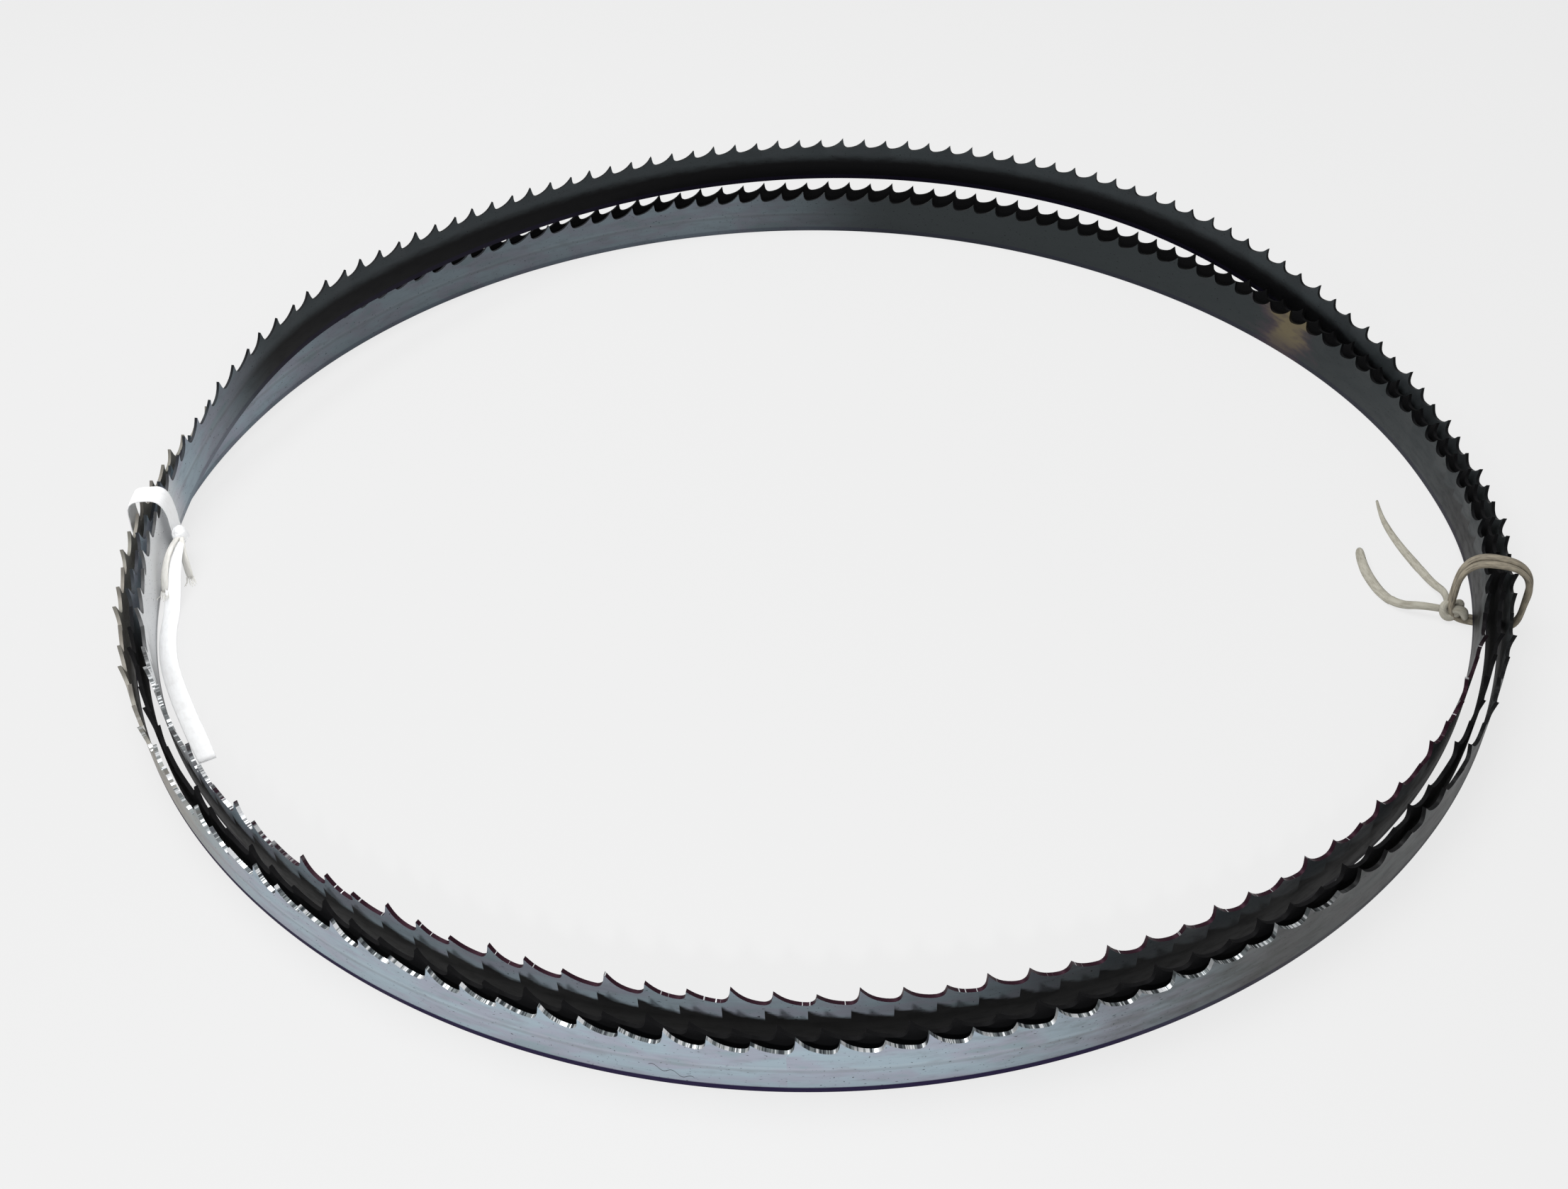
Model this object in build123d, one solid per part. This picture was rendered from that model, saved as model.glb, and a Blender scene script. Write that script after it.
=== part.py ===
from build123d import *
import os
from math import cos, radians, sin, tan

import numpy as np

# Band saw blade, one endless toothed band folded into a coil of three turns that stands on its
# back edge, tied with string on the right and with tape on the left. Millimetres, +Z up, with the
# origin on the floor at the middle of the coil.

# Band
BLADE_LENGTH = 3607.0
TOOTH_COUNT = 426
BLADE_WIDTH = 15.9
THICKNESS = 0.9
GULLET_DEPTH = 3.4
TOOTH_SET = 0.65

# Tooth outline from one gullet bottom to the next: share of the pitch, share of the gullet depth
TOOTH_OUTLINE = ((0.17, 0.27), (0.21, 1.0), (0.43, 0.48), (0.73, 0.10))

# Raker pattern: one tooth leans inwards, one stands straight, one leans outwards
SET_PATTERN = (-1, 0, 1)

# Coil. Each row is a direction, how far the innermost strand is off the mean radius there, the
# slack between the inner and middle strand and between the middle and outer strand, and the
# turns that these three strands belong to.
TURNS = 3
STRAND_CLEARANCE = 0.3
STATIONS = (
    (270, -4.0, 5.6, 0.4, (2, 3, 1)),
    (315, -4.5, 2.6, 0.2, (2, 3, 1)),
    (0, -6.5, 0.3, 0.3, (2, 3, 1)),
    (45, -8.5, 4.4, 0.2, (2, 3, 1)),
    (90, -3.0, 7.5, -0.6, (2, 3, 1)),
    (135, -8.0, 2.0, 0.7, (1, 2, 3)),
    (180, -8.2, 0.6, 0.4, (1, 2, 3)),
    (225, -6.2, 1.6, 0.1, (1, 2, 3)),
)

# The first turn climbs over the other two, crosses them and comes down inside them
CROSSING_GAP = 0.7
CLIMB_FROM, CLIMB_SPAN = 346.0, 80.0
DESCENT_FROM, DESCENT_SPAN = 505.0, 55.0

# String tie on the right: two passes side by side and a knot on the inner side
STRING_DIAMETER = 2.2
STRING_SIDES = 8
STRING_DIRECTION = 342.0
STRING_SLACK_INNER = 4.2
STRING_SLACK_OUTER = 2.4
STRING_SLACK_TOP = 1.2
STRING_TOP_CORNER = 5.5
STRING_FOOT_CORNER = 3.2
KNOT_LENGTH = 7.0
KNOT_DIAMETER = 5.6
KNOT_HEIGHT = 3.0
KNOT_BEVEL = 0.8
KNOT_SHIFT = 1.2
LONG_TAIL_SHIFT = 1.7

# Free string tails: a straight stub out of the knot, and the route from there to the end
TAIL_STUB = 4.5
LONG_TAIL_DIAMETER = 1.8
LONG_TAIL = (
    (172.3, -42.4, 1.3),
    (170.9, -34.6, 0.9),
    (169.0, -26.0, 0.9),
    (167.9, -17.2, 0.9),
    (167.8, -9.2, 0.9),
    (168.9, -1.9, 0.9),
)
SHORT_TAIL_DIAMETER = 2.2
SHORT_TAIL = (
    (160.8, -52.0, 1.6),
    (157.6, -47.4, 1.1),
    (156.2, -40.8, 1.1),
    (155.8, -33.4, 1.1),
    (156.8, -26.6, 1.1),
)

# Tape tie on the left: one band, a knot on the inner side, two short ends and one long tail
TAPE_WIDTH = 7.5
TAPE_THICKNESS = 0.5
TAPE_DIRECTION = 187.0
TAPE_SLACK_SIDE = 0.9
TAPE_SLACK_TOP = 0.9
TAPE_TOP_CORNER = 2.8
TAPE_FOOT_CORNER = 2.0
TAPE_KNOT = (4.6, 5.4, 6.0)
TAPE_KNOT_BEVEL = 1.2
TAPE_KNOT_HEIGHT = 8.0
TAPE_KNOT_SHIFT = 3.6
TAPE_KNOT_TURN = 3.0
TAPE_END_WIDTH = 2.4
TAPE_ENDS = ((-174.7, -36.0), (-176.2, -46.0))
TAPE_TAIL_WIDTH = 4.5
TAPE_TAIL_STUB = 9.0
TAPE_TAIL_LANDING = 22.0
TAPE_TAIL = (
    (-171.8, -61.6),
    (-167.2, -73.6),
    (-160.4, -85.4),
    (-152.6, -97.6),
    (-144.8, -109.2),
)

# Clearances where one piece lies against another
SEAT_GAP = 0.1
TIE_RISE_SPAN = 24.0

STRAND_PITCH = THICKNESS + 2 * TOOTH_SET + STRAND_CLEARANCE
BODY_HEIGHT = BLADE_WIDTH - GULLET_DEPTH
CROSSING_LIFT = BLADE_WIDTH + CROSSING_GAP
SAMPLES = 9000


def smooth_step(share):
    """Climb from 0 to 1 that starts and ends level and without a jump in its curvature."""
    t = np.clip(share, 0.0, 1.0)
    return t**3 * (10 - 15 * t + 6 * t**2)


def station_offsets():
    """Distance of the band from the mean radius at every station of the three turns, in order."""
    offsets = np.zeros((TURNS, len(STATIONS)))
    for place, (_, innermost, first_slack, second_slack, order) in enumerate(STATIONS):
        steps = (0.0, STRAND_PITCH + first_slack, STRAND_PITCH + second_slack)
        for turn, offset in zip(order, np.cumsum(steps)):
            offsets[turn - 1, place] = innermost + offset
    return offsets.ravel()


def offset_along_band(turn_angle):
    """Closed cubic spline through the stations, which stand at even steps of direction."""
    knots = station_offsets()
    count = len(knots)
    ring = 4 * np.eye(count) + np.roll(np.eye(count), 1, axis=0) + np.roll(np.eye(count), -1, axis=0)
    bends = np.linalg.solve(ring, 6 * (np.roll(knots, -1) - 2 * knots + np.roll(knots, 1)))
    steps = (turn_angle - STATIONS[0][0]) * len(STATIONS) / 360.0
    before = np.floor(steps).astype(int) % count
    after = (before + 1) % count
    t = steps - np.floor(steps)
    chord = (1 - t) * knots[before] + t * knots[after]
    return chord + ((t**3 - t) * bends[after] + ((1 - t) ** 3 - (1 - t)) * bends[before]) / 6


def tie_rise(direction, tie_direction, tie_thickness):
    """How far the strands are raised by a tie that passes under them."""
    apart = np.abs((direction - tie_direction + 180.0) % 360.0 - 180.0)
    return (tie_thickness + 2 * SEAT_GAP) * (1 - smooth_step(apart / TIE_RISE_SPAN))


def back_edge_height(turn_angle):
    """Height of the back edge over the floor: the crossing's climb and descent, and the ties."""
    climb = smooth_step((turn_angle - CLIMB_FROM) / CLIMB_SPAN)
    descent = smooth_step((turn_angle - DESCENT_FROM) / DESCENT_SPAN)
    string = tie_rise(turn_angle, STRING_DIRECTION, STRING_DIAMETER)
    tape = tie_rise(turn_angle, TAPE_DIRECTION, TAPE_THICKNESS)
    return CROSSING_LIFT * (climb - descent) + string + tape


def band_line(mean_radius):
    """Dense points of the band's back edge line over the three turns, and the length up to each."""
    turn_angle = STATIONS[0][0] + np.linspace(0.0, 360.0 * TURNS, SAMPLES)
    radius = mean_radius + offset_along_band(turn_angle)
    around = np.radians(turn_angle)
    points = np.stack([radius * np.cos(around), radius * np.sin(around), back_edge_height(turn_angle)], 1)
    steps = np.linalg.norm(np.diff(points, axis=0), axis=1)
    return turn_angle, points, np.concatenate([[0.0], np.cumsum(steps)])


def mean_coil_radius():
    """Radius at which the three turns use up the whole length of the band."""
    radius = BLADE_LENGTH / (2 * np.pi * TURNS)
    for _ in range(4):
        radius += (BLADE_LENGTH - band_line(radius)[2][-1]) / (2 * np.pi * TURNS)
    return radius


MEAN_RADIUS = mean_coil_radius()


def strands_at(direction):
    """Radius and back edge height of the three strands in one direction, innermost first."""
    start = STATIONS[0][0]
    turn_angle = start + (direction - start) % 360.0 + 360.0 * np.arange(TURNS)
    radius = MEAN_RADIUS + offset_along_band(turn_angle)
    order = np.argsort(radius)
    return radius[order], back_edge_height(turn_angle)[order]


def panel(*corners):
    """Flat face between corners, or a fan of triangles where they don't lie in one plane."""
    points = np.array(corners)
    normal = np.cross(points[1] - points[0], points[2] - points[0])
    normal /= np.linalg.norm(normal)
    if np.abs((points - points[0]) @ normal).max() < 1e-7:
        return [Face(Wire.make_polygon([tuple(point) for point in points]))]
    faces = []
    for second, third in zip(points[1:-1], points[2:]):
        faces.append(Face(Wire.make_polygon([tuple(points[0]), tuple(second), tuple(third)])))
    return faces


def blade():
    """The toothed band: one flat length per pitch, which turns a little at each gullet bottom."""
    _, line, length = band_line(MEAN_RADIUS)
    stops = np.arange(TOOTH_COUNT) * length[-1] / TOOTH_COUNT
    corner = np.stack([np.interp(stops, length, line[:, axis]) for axis in range(3)], 1)
    run = np.roll(corner, -1, axis=0) - corner
    pitch = np.hypot(run[:, 0], run[:, 1])
    along = run[:, :2] / pitch[:, None]
    outward = np.stack([along[:, 1], -along[:, 0], np.zeros(TOOTH_COUNT)], 1)
    mitre = outward + np.roll(outward, 1, axis=0)
    mitre /= (mitre * outward).sum(1)[:, None]
    up = np.array([0.0, 0.0, 1.0])

    faces = []
    for tooth in range(TOOTH_COUNT):
        after = (tooth + 1) % TOOTH_COUNT
        lean = TOOTH_SET * SET_PATTERN[tooth % len(SET_PATTERN)]
        sides = []
        for side in (0.5, -0.5):
            foot = corner[tooth] + side * THICKNESS * mitre[tooth]
            next_foot = corner[after] + side * THICKNESS * mitre[after]
            outline = []
            for share, height in TOOTH_OUTLINE:
                base = corner[tooth] + share * run[tooth] + (BODY_HEIGHT + height * GULLET_DEPTH) * up
                outline.append(base + (side * THICKNESS + lean * height) * outward[tooth])
            sides.append([foot, next_foot, next_foot + BODY_HEIGHT * up, *outline[::-1], foot + BODY_HEIGHT * up])
        outer, inner = sides
        for side, turned in ((outer, False), (inner, True)):
            body = (side[0], side[1], side[2], side[-1])
            for outline in (body, side[2:]) if lean else (side,):
                faces += panel(*(outline[::-1] if turned else outline))
        faces += panel(outer[0], inner[0], inner[1], outer[1])
        for first, second in zip(range(2, len(outer) - 1), range(3, len(outer))):
            faces += panel(outer[first], inner[first], inner[second], outer[second])
    return Solid(Shell(faces))


def tie_plane(direction):
    """Upright plane through the coil's axis: x points outwards, y up, z along the strands."""
    out = (cos(radians(direction)), sin(radians(direction)), 0.0)
    return Plane(origin=(0, 0, 0), x_dir=out, z_dir=(out[1], -out[0], 0.0))


def tie_loop(direction, slacks, corners, thickness):
    """Outline inside a tie round the three strands, in the plane of the tie."""
    inner_slack, outer_slack, top_slack = slacks
    top_corner, foot_corner = corners
    radius, height = strands_at(direction)
    reach = THICKNESS / 2 + TOOTH_SET
    inner = radius[0] - reach - inner_slack
    outer = radius[-1] + reach + outer_slack
    top = height.max() + BLADE_WIDTH + top_slack
    middle = ((inner + outer) / 2, (thickness + top) / 2)
    outline = Pos(*middle) * Rectangle(outer - inner, top - thickness)
    outline = fillet(outline.vertices().sort_by(Axis.Y)[:2], foot_corner)
    return fillet(outline.vertices().sort_by(Axis.Y)[-2:], top_corner)


def string_tie():
    """Two passes of string round the three strands and the knot that closes them."""
    loop = tie_loop(
        STRING_DIRECTION,
        (STRING_SLACK_INNER, STRING_SLACK_OUTER, STRING_SLACK_TOP),
        (STRING_TOP_CORNER, STRING_FOOT_CORNER),
        STRING_DIAMETER,
    )
    half = STRING_DIAMETER / 2
    plane = tie_plane(STRING_DIRECTION)
    path = (plane * offset(loop, half)).wire()
    cut = Plane(origin=path @ 0, x_dir=plane.z_dir, z_dir=path % 0)
    pass_shift = half * cos(radians(180 / STRING_SIDES)) - 0.02
    passes = Sketch()
    for shift in (-pass_shift, pass_shift):
        passes += Pos(shift, 0) * RegularPolygon(half, STRING_SIDES, rotation=180 / STRING_SIDES)
    string = sweep(cut * passes, path=path)
    return string + knot_body(string_knot_place(), KNOT_LENGTH)


def string_knot_place():
    """Middle of the string's knot: x points outwards, y up, z along the strands."""
    radius, _ = strands_at(STRING_DIRECTION)
    inner = radius[0] - THICKNESS / 2 - TOOTH_SET - STRING_SLACK_INNER
    depth = inner - STRING_DIAMETER / 2 + KNOT_SHIFT
    return tie_plane(STRING_DIRECTION).location * Location((depth, KNOT_HEIGHT, 0))


def knot_body(place, length):
    """Eight-sided lump of a knot that points inwards, with a flat to each side."""
    facets = Plane.YZ * RegularPolygon(KNOT_DIAMETER / 2, 8, major_radius=False, rotation=22.5)
    lump = extrude(facets, length / 2, both=True)
    return place * chamfer(lump.faces().filter_by(Axis.X).edges(), KNOT_BEVEL)


def knot_exit(place, offset, heading):
    """Start and end of the straight stub with which a tail leaves a knot's flat."""
    start = (place * Location(offset)).position
    direction = (place * Location(heading)).position - place.position
    return start, start + TAIL_STUB * direction


def cord_path(name, points):
    """Straight runs joined by the largest tangent arcs that two neighbouring runs allow."""
    route = [Vector(point) for point in points]
    radii = []
    for before, here, after in zip(route, route[1:], route[2:]):
        turn = (here - before).get_angle(after - here)
        shorter = min((here - before).length, (after - here).length)
        radii.append(0.45 * shorter / tan(radians(turn / 2)))
    print(name, "bend radii", [round(radius, 1) for radius in radii])
    return FilletPolyline(*route, radius=radii)


def string_tail(name, points, diameter):
    """Plain tube along the route of one free string end."""
    path = cord_path(name, points)
    section = Plane(origin=path @ 0, z_dir=path % 0) * RegularPolygon(diameter / 2, STRING_SIDES)
    tail = sweep(section, path=path)
    print(name, "length", round(path.length, 1), "volume share", round(tail.volume / section.area / path.length, 4))
    return tail


def string_tail_long():
    """Long tail: leaves the knot along the strands and lies on the floor beside them."""
    stub = knot_exit(string_knot_place(), (-LONG_TAIL_SHIFT, 0, -KNOT_DIAMETER / 2), (0, 0, -1))
    return string_tail("string_tail_long", (*stub, *LONG_TAIL), LONG_TAIL_DIAMETER)


def string_tail_short():
    """Short tail: leaves the knot inwards and turns along the strands on the floor."""
    stub = knot_exit(string_knot_place(), (-KNOT_LENGTH / 2, 0, 0), (-1, 0, 0))
    return string_tail("string_tail_short", (*stub, *SHORT_TAIL), SHORT_TAIL_DIAMETER)


def tape_strip(path, width):
    """Flat tape along a path, its face turned up where the path is level."""
    side = (path % 0).cross(Vector(0, 0, 1))
    cut = Plane(origin=path @ 0, x_dir=side, z_dir=path % 0)
    return sweep(cut * Rectangle(width, TAPE_THICKNESS), path=path)


def tape_knot_place():
    """Middle of the tape's knot: x points outwards, y up, z along the strands."""
    radius, _ = strands_at(TAPE_DIRECTION)
    inner = radius[0] - THICKNESS / 2 - TOOTH_SET - TAPE_SLACK_SIDE
    depth = inner - TAPE_THICKNESS / 2 - TAPE_KNOT[0] / 2
    middle = (depth, TAPE_KNOT_HEIGHT, -TAPE_KNOT_SHIFT)
    return tie_plane(TAPE_DIRECTION).location * Location(middle, (0, TAPE_KNOT_TURN, 0))


def tape_tie():
    """Band of tape round the strands with its knot and the two short ends."""
    loop = tie_loop(
        TAPE_DIRECTION,
        (TAPE_SLACK_SIDE, TAPE_SLACK_SIDE, TAPE_SLACK_TOP),
        (TAPE_TOP_CORNER, TAPE_FOOT_CORNER),
        TAPE_THICKNESS,
    )
    band = extrude(
        tie_plane(TAPE_DIRECTION) * (offset(loop, TAPE_THICKNESS) - loop), TAPE_WIDTH / 2, both=True
    )
    place = tape_knot_place()
    tie = band + place * chamfer(Box(*TAPE_KNOT).edges(), TAPE_KNOT_BEVEL)
    for x, y in TAPE_ENDS:
        tie += tape_strip(Line(place.position, (x, y, TAPE_THICKNESS / 2)), TAPE_END_WIDTH)
    return tie


def tape_tail():
    """Long free end of the tape: leaves the knot along the strands and lies down on the floor."""
    place = tape_knot_place()
    start = (place * Location((0, 0, -TAPE_KNOT[2] / 2))).position
    along = (place * Location((0, 0, -1))).position - place.position
    landing = start + TAPE_TAIL_LANDING * along
    floor = TAPE_THICKNESS / 2 + SEAT_GAP
    route = [(landing.X, landing.Y, floor)] + [(x, y, floor) for x, y in TAPE_TAIL]
    path = cord_path("tape_tail", (start, start + TAPE_TAIL_STUB * along, *route))
    return tape_strip(path, TAPE_TAIL_WIDTH)


def main():
    """Builds every piece and writes it under its own name."""
    pieces = (blade, string_tie, string_tail_long, string_tail_short, tape_tie, tape_tail)
    os.makedirs("parts", exist_ok=True)
    for piece in pieces:
        solid = piece()
        export_step(solid, f"parts/{piece.__name__}.step", write_pcurves=False)
        print(piece.__name__, "valid" if solid.is_valid else "not valid", round(solid.volume, 1))


main()
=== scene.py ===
import logging
import math
from dataclasses import dataclass, field
from enum import Enum

import bpy
import numpy as np
from mathutils import Matrix, Vector


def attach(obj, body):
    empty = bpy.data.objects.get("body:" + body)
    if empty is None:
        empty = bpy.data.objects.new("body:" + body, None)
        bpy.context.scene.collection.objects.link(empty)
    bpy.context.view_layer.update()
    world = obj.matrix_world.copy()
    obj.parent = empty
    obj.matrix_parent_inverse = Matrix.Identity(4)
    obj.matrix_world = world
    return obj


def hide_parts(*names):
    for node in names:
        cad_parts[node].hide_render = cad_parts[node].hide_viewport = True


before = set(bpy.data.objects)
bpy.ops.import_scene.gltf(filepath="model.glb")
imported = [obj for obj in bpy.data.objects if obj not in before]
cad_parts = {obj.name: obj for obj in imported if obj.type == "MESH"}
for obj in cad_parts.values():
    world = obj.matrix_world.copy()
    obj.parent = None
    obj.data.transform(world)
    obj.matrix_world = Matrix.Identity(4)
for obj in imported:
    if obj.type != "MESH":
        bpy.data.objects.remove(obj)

logging.basicConfig(level=logging.INFO, format="%(message)s")
log = logging.getLogger("blade")

Array = np.ndarray
Material = bpy.types.Material
Piece = bpy.types.Object
Two = tuple[float, float]
Three = tuple[float, float, float]

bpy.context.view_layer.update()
MM = 0.001
RING_SAMPLES = 2001
SPLINE_STEPS = 14
UP = np.array([0.0, 0.0, 1.0])


class Slot(Enum):
    """Material slots of the record; each tie holds one."""

    STEEL = "blade_steel"
    STRING = "string"
    TAPE = "tape"


class Sock:
    """One shader socket; arithmetic on it adds Math nodes."""

    def __init__(self, graph: "Graph", socket: bpy.types.NodeSocket) -> None:
        """Wraps a socket of the graph's tree."""
        self.graph = graph
        self.socket = socket

    def _math(self, operation: str, first: object, second: object) -> "Sock":
        """Math node on two values or sockets."""
        return self.graph.node("ShaderNodeMath", {"operation": operation}, {0: first, 1: second})

    def __add__(self, other: object) -> "Sock":
        """Sum."""
        return self._math("ADD", self, other)

    __radd__ = __add__

    def __sub__(self, other: object) -> "Sock":
        """Difference."""
        return self._math("SUBTRACT", self, other)

    def __rsub__(self, other: object) -> "Sock":
        """Reflected difference, for 1 - mask."""
        return self._math("SUBTRACT", other, self)

    def __mul__(self, other: object) -> "Sock":
        """Product."""
        return self._math("MULTIPLY", self, other)

    def larger(self, other: object) -> "Sock":
        """The larger of two values."""
        return self._math("MAXIMUM", self, other)

    def fraction(self) -> "Sock":
        """What is left of a value past its whole number."""
        return self._math("FRACT", self, 0.0)

    def sine(self) -> "Sock":
        """Sine of a value in radians."""
        return self._math("SINE", self, 0.0)

    def band(self, low: float, high: float) -> "Sock":
        """Smooth rise from 0 at low to 1 at high; it falls where low is the larger."""
        settings = {"interpolation_type": "SMOOTHSTEP", "clamp": True}
        rises = low <= high
        ends = {1: min(low, high), 2: max(low, high), 3: float(not rises), 4: float(rises)}
        return self.graph.node("ShaderNodeMapRange", settings, {0: self, **ends})

    def near(self, middle: float, half: float, soft: float) -> "Sock":
        """1 within half of the middle, falling to 0 over soft on both sides."""
        first, last = middle - half, middle + half
        return self.band(first - soft, first) * self.band(last + soft, last)


class Graph:
    """Node tree of one material or of the world."""

    def __init__(self, owner: bpy.types.ID, output: str = "ShaderNodeOutputMaterial") -> None:
        """Empties the owner's node tree and gives it an output of its own."""
        owner.use_nodes = True
        self.owner = owner
        self.tree = owner.node_tree
        self.tree.nodes.clear()
        self.output = self.tree.nodes.new(output)

    def node(self, kind: str, settings: dict, inputs: dict, output: object = 0) -> Sock:
        """Adds one node.

        Args:
            kind: the node's type.
            settings: its properties, set first.
            inputs: values or sockets by input name or number.
            output: which output to return.

        Returns:
            The wanted output.
        """
        made = self.tree.nodes.new(kind)
        for key, value in settings.items():
            setattr(made, key, value)
        for key, value in inputs.items():
            if isinstance(value, Sock):
                self.tree.links.new(value.socket, made.inputs[key])
            elif isinstance(value, tuple) and len(value) == 3 and made.inputs[key].type == "RGBA":
                made.inputs[key].default_value = (*value, 1.0)
            else:
                made.inputs[key].default_value = value
        return Sock(self, made.outputs[output])

    def mix(self, share: object, first: object, second: object) -> Sock:
        """Colour that goes from first to second with share."""
        settings = {"data_type": "RGBA", "clamp_factor": True}
        return self.node("ShaderNodeMix", settings, {0: share, 6: first, 7: second}, output=2)

    def layered(self, colour: object, layers: tuple) -> Sock:
        """Colour with layers over it in turn, each a share and a colour."""
        for share, layer in layers:
            colour = self.mix(share, colour, layer)
        return colour

    def noise(self, vector: Sock, recipe: tuple) -> Sock:
        """Noise value about 0.5.

        Args:
            vector: place on the piece, in metres.
            recipe: how far the noise is squeezed along the piece, under 1 draws it out; its scale per
                metre, detail and roughness.

        Returns:
            The value.
        """
        squeeze, scale, detail, roughness = recipe
        place = self.node("ShaderNodeMapping", {}, {"Vector": vector, "Scale": (squeeze, 1.0, 1.0)})
        inputs = {"Vector": place, "Scale": scale, "Detail": detail, "Roughness": roughness}
        return self.node("ShaderNodeTexNoise", {}, inputs)

    def show(self, shader: Sock) -> None:
        """Makes a shader the surface."""
        self.tree.links.new(shader.socket, self.output.inputs["Surface"])

    def principled(self, **inputs: object) -> Material:
        """Makes a Principled BSDF with these inputs the surface, and returns the material."""
        named = {key.replace("_", " "): value for key, value in inputs.items()}
        self.show(self.node("ShaderNodeBsdfPrincipled", {}, named))
        return self.owner


def build_mesh(name: str, points: Array, quads: Array, uv: Array | None = None) -> Piece:
    """Makes one object from arrays.

    Args:
        name: the piece's name.
        points: n by 3 places in metres.
        quads: m by 4 point numbers; a triangle repeats its last point.
        uv: m by 4 by 2 coordinates of the faces' corners.

    Returns:
        The object, linked to the scene, at the origin.
    """
    mesh = bpy.data.meshes.new(name)
    faces = [tuple(face[:3]) if face[2] == face[3] else tuple(face) for face in quads.tolist()]
    mesh.from_pydata(points.tolist(), [], faces)
    if uv is not None:
        triangle = quads[:, 2] == quads[:, 3]
        keep = np.ones((len(quads), 4), bool)
        keep[triangle, 3] = False
        layer = mesh.uv_layers.new(name="UVMap")
        layer.data.foreach_set("uv", uv.reshape(-1, 4, 2)[keep].astype(np.float32).ravel())
    mesh.update()
    piece = bpy.data.objects.new(name, mesh)
    bpy.context.scene.collection.objects.link(piece)
    return piece


def grid_quads(rows: int, columns: int, wrap_rows: bool, wrap_columns: bool) -> Array:
    """Faces of a grid of points numbered row by row, closed on itself where asked."""
    row = np.arange(rows if wrap_rows else rows - 1)[:, None]
    column = np.arange(columns if wrap_columns else columns - 1)[None, :]
    row_after = (row + 1) % rows
    column_after = (column + 1) % columns
    corners = ((row, column), (row, column_after), (row_after, column_after), (row_after, column))
    return np.stack([at_row * columns + at_column for at_row, at_column in corners], -1).reshape(-1, 4)


def lengths_along(points: Array) -> Array:
    """Length of an open line up to every point."""
    steps = np.linalg.norm(np.diff(points, axis=0), axis=1)
    return np.concatenate([[0.0], np.cumsum(steps)])


def smooth_step(share: Array) -> Array:
    """Climb from 0 to 1 that starts and ends level: 10 t^3 - 15 t^4 + 6 t^5."""
    t = np.clip(share, 0.0, 1.0)
    return t**3 * (10 - 15 * t + 6 * t**2)


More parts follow.
